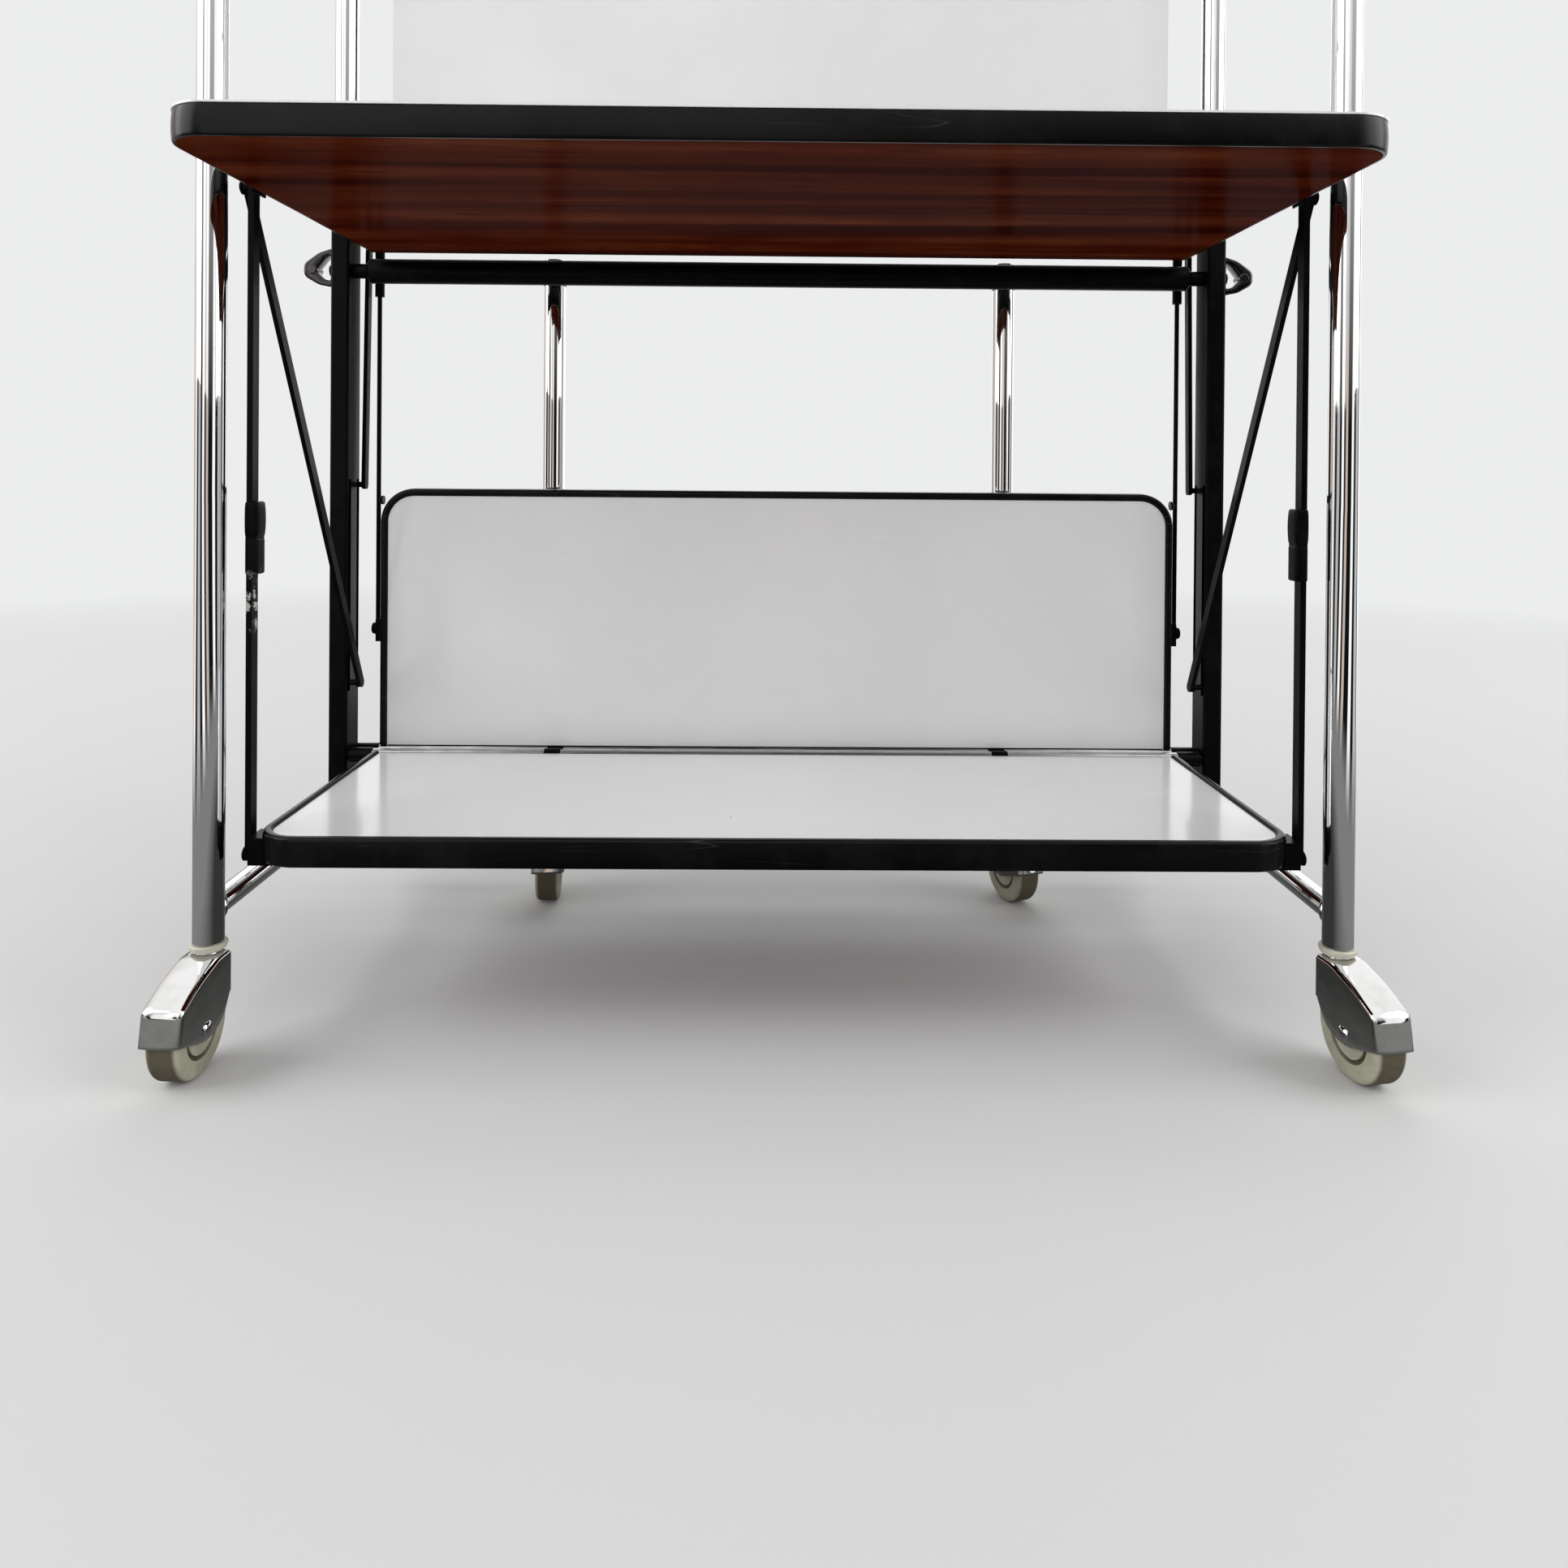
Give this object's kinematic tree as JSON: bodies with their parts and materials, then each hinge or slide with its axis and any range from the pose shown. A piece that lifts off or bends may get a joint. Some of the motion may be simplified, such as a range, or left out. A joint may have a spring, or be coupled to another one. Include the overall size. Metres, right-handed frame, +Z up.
{
  "type": "folding tea trolley",
  "caption": "Drop leaf tea trolley with chrome hoop handles, black posts, white laminate trays on castors; leaves fold on coupled link rods and stays, rear legs swing out",
  "frame": {"origin": "on the floor under the middle of the trolley as it stands", "axes": "+Z up, +X along the trays, +Y to the back, away from the side with the level leaves"},
  "size_m": [0.676, 0.3504, 0.78],
  "materials": {
    "chrome": "bright plated tube and pressings",
    "black_paint": "satin black, chipped on the link rods",
    "black_edging": "rounded black edging, slightly glossy",
    "white_laminate": "glossy white laminate",
    "wood_veneer": "dark red-brown veneer, satin",
    "grey_steel": "dull grey rod",
    "cream_plastic": "cream moulded collar",
    "grey_rubber": "grey tread"
  },
  "bodies": {
    "frame": {"left_hoop": "chrome", "right_hoop": "chrome", "left_post": "black_paint", "right_post": "black_paint", "left_strut": "chrome", "right_strut": "chrome", "crossbar": "black_paint", "lower_rail": "black_paint", "left_gate_bracket": "black_paint", "right_gate_bracket": "black_paint", "front_left_collar": "cream_plastic", "front_right_collar": "cream_plastic"},
    "top_front_leaf": {"top_front_board": "wood_veneer", "top_front_sheet": "white_laminate", "top_front_band": "black_edging", "top_front_pivot_rod": "grey_steel", "top_front_bracket_left": "black_paint", "top_front_bracket_right": "black_paint"},
    "top_rear_leaf": {"top_rear_board": "wood_veneer", "top_rear_sheet": "white_laminate", "top_rear_band": "black_edging", "top_rear_pivot_rod": "grey_steel", "top_rear_bracket_left": "black_paint", "top_rear_bracket_right": "black_paint"},
    "lower_front_leaf": {"lower_front_board": "wood_veneer", "lower_front_sheet": "white_laminate", "lower_front_band": "black_edging", "lower_front_pivot_rod": "grey_steel", "lower_front_bracket_left": "black_paint", "lower_front_bracket_right": "black_paint"},
    "lower_rear_leaf": {"lower_rear_board": "wood_veneer", "lower_rear_sheet": "white_laminate", "lower_rear_band": "black_edging", "lower_rear_pivot_rod": "grey_steel", "lower_rear_bracket_left": "black_paint", "lower_rear_bracket_right": "black_paint"},
    "left_gate": {"left_gate_leg": "chrome", "rear_left_collar": "cream_plastic"},
    "left_catch": {"left_lever": "chrome"},
    "front_left_link": {"front_link_left": "black_paint"},
    "front_left_stay": {"front_stay_left": "black_paint"},
    "front_left_castor": {"front_left_fork": "chrome"},
    "front_left_roller": {"front_left_wheel": "grey_rubber"},
    "rear_left_link": {"rear_link_left": "black_paint"},
    "rear_left_stay": {"rear_stay_left": "black_paint"},
    "rear_left_castor": {"rear_left_fork": "chrome"},
    "rear_left_roller": {"rear_left_wheel": "grey_rubber"},
    "right_gate": {"right_gate_leg": "chrome", "rear_right_collar": "cream_plastic"},
    "right_catch": {"right_lever": "chrome"},
    "front_right_link": {"front_link_right": "black_paint"},
    "front_right_stay": {"front_stay_right": "black_paint"},
    "front_right_castor": {"front_right_fork": "chrome"},
    "front_right_roller": {"front_right_wheel": "grey_rubber"},
    "rear_right_link": {"rear_link_right": "black_paint"},
    "rear_right_stay": {"rear_stay_right": "black_paint"},
    "rear_right_castor": {"rear_right_fork": "chrome"},
    "rear_right_roller": {"rear_right_wheel": "grey_rubber"}
  },
  "joints": [
    {"name": "front_fold", "type": "hinge", "parent": "frame", "child": "top_front_leaf", "pos_m": [0, 0.10175, 0.4835], "axis": [-1, 0, 0], "range_deg": [0, 90]},
    {"name": "front_lower_fold", "type": "hinge", "parent": "frame", "child": "lower_front_leaf", "pos_m": [0, 0.10175, 0.1168], "axis": [-1, 0, 0], "range_deg": [0, 90]},
    {"name": "front_left_link_turn", "type": "hinge", "parent": "top_front_leaf", "child": "front_left_link", "pos_m": [-0.28995, -0.06825, 0.473], "axis": [-1, 0, 0], "range_deg": [-90, 0]},
    {"name": "front_left_stay_turn", "type": "hinge", "parent": "top_front_leaf", "child": "front_left_stay", "pos_m": [-0.2933, -0.06825, 0.473], "axis": [-1, 0, 0], "range_deg": [-62.58, 0]},
    {"name": "front_right_link_turn", "type": "hinge", "parent": "top_front_leaf", "child": "front_right_link", "pos_m": [0.28995, -0.06825, 0.473], "axis": [-1, 0, 0], "range_deg": [-90, 0]},
    {"name": "front_right_stay_turn", "type": "hinge", "parent": "top_front_leaf", "child": "front_right_stay", "pos_m": [0.2933, -0.06825, 0.473], "axis": [-1, 0, 0], "range_deg": [-62.58, 0]},
    {"name": "rear_fold", "type": "hinge", "parent": "frame", "child": "top_rear_leaf", "pos_m": [0, 0.11475, 0.4835], "axis": [-1, 0, 0], "range_deg": [0, 90]},
    {"name": "rear_lower_fold", "type": "hinge", "parent": "frame", "child": "lower_rear_leaf", "pos_m": [0, 0.11475, 0.1168], "axis": [-1, 0, 0], "range_deg": [0, 90]},
    {"name": "rear_left_link_turn", "type": "hinge", "parent": "top_rear_leaf", "child": "rear_left_link", "pos_m": [-0.29, 0.12525, 0.5695], "axis": [-1, 0, 0], "range_deg": [-90, 0]},
    {"name": "rear_left_stay_turn", "type": "hinge", "parent": "top_rear_leaf", "child": "rear_left_stay", "pos_m": [-0.2966, 0.12525, 0.5695], "axis": [-1, 0, 0], "range_deg": [-73.19, 0]},
    {"name": "rear_right_link_turn", "type": "hinge", "parent": "top_rear_leaf", "child": "rear_right_link", "pos_m": [0.29, 0.12525, 0.5695], "axis": [-1, 0, 0], "range_deg": [-90, 0]},
    {"name": "rear_right_stay_turn", "type": "hinge", "parent": "top_rear_leaf", "child": "rear_right_stay", "pos_m": [0.2966, 0.12525, 0.5695], "axis": [-1, 0, 0], "range_deg": [-73.19, 0]},
    {"name": "left_gate_swing", "type": "hinge", "parent": "frame", "child": "left_gate", "pos_m": [-0.327, 0.16425, 0.0785], "axis": [0, 0, 1], "range_deg": [0, 90]},
    {"name": "left_catch_turn", "type": "hinge", "parent": "frame", "child": "left_catch", "pos_m": [-0.3148, 0.10825, 0.4586], "axis": [-1, 0, 0], "range_deg": [0, 20], "stiffness_Nm_per_rad": 0.1},
    {"name": "front_left_swivel", "type": "hinge", "parent": "frame", "child": "front_left_castor", "pos_m": [-0.308, -0.07775, 0.062], "axis": [0, 0, 1], "continuous": true},
    {"name": "front_left_roll", "type": "hinge", "parent": "front_left_castor", "child": "front_left_roller", "pos_m": [-0.30871, -0.09804, 0.0245], "axis": [0.9994, -0.0349, 0], "continuous": true},
    {"name": "rear_left_swivel", "type": "hinge", "parent": "left_gate", "child": "rear_left_castor", "pos_m": [-0.171, 0.16425, 0.062], "axis": [0, 0, 1], "continuous": true},
    {"name": "rear_left_roll", "type": "hinge", "parent": "rear_left_castor", "child": "rear_left_roller", "pos_m": [-0.16853, 0.1441, 0.0245], "axis": [0.9925, 0.1219, 0], "continuous": true},
    {"name": "right_gate_swing", "type": "hinge", "parent": "frame", "child": "right_gate", "pos_m": [0.327, 0.16425, 0.0785], "axis": [0, 0, -1], "range_deg": [0, 90]},
    {"name": "right_catch_turn", "type": "hinge", "parent": "frame", "child": "right_catch", "pos_m": [0.3148, 0.10825, 0.4586], "axis": [-1, 0, 0], "range_deg": [0, 20], "stiffness_Nm_per_rad": 0.1},
    {"name": "front_right_swivel", "type": "hinge", "parent": "frame", "child": "front_right_castor", "pos_m": [0.308, -0.07775, 0.062], "axis": [0, 0, 1], "continuous": true},
    {"name": "front_right_roll", "type": "hinge", "parent": "front_right_castor", "child": "front_right_roller", "pos_m": [0.311, -0.09783, 0.0245], "axis": [0.989, 0.1478, 0], "continuous": true},
    {"name": "rear_right_swivel", "type": "hinge", "parent": "right_gate", "child": "rear_right_castor", "pos_m": [0.171, 0.16425, 0.062], "axis": [0, 0, 1], "continuous": true},
    {"name": "rear_right_roll", "type": "hinge", "parent": "rear_right_castor", "child": "rear_right_roller", "pos_m": [0.17761, 0.14506, 0.0245], "axis": [0.9455, 0.3256, 0], "continuous": true}
  ],
  "couplings": [
    {"joint": "front_lower_fold", "follows": "front_fold", "ratio": 1},
    {"joint": "front_left_link_turn", "follows": "front_fold", "ratio": -1},
    {"joint": "front_left_stay_turn", "follows": "front_fold", "ratio": -0.69523},
    {"joint": "front_right_link_turn", "follows": "front_fold", "ratio": -1},
    {"joint": "front_right_stay_turn", "follows": "front_fold", "ratio": -0.69523},
    {"joint": "rear_lower_fold", "follows": "rear_fold", "ratio": 1},
    {"joint": "rear_left_link_turn", "follows": "rear_fold", "ratio": -1},
    {"joint": "rear_left_stay_turn", "follows": "rear_fold", "ratio": -0.81312},
    {"joint": "rear_right_link_turn", "follows": "rear_fold", "ratio": -1},
    {"joint": "rear_right_stay_turn", "follows": "rear_fold", "ratio": -0.81312},
    {"joint": "left_gate_swing", "follows": "rear_fold", "ratio": 1},
    {"joint": "right_gate_swing", "follows": "rear_fold", "ratio": 1}
  ]
}
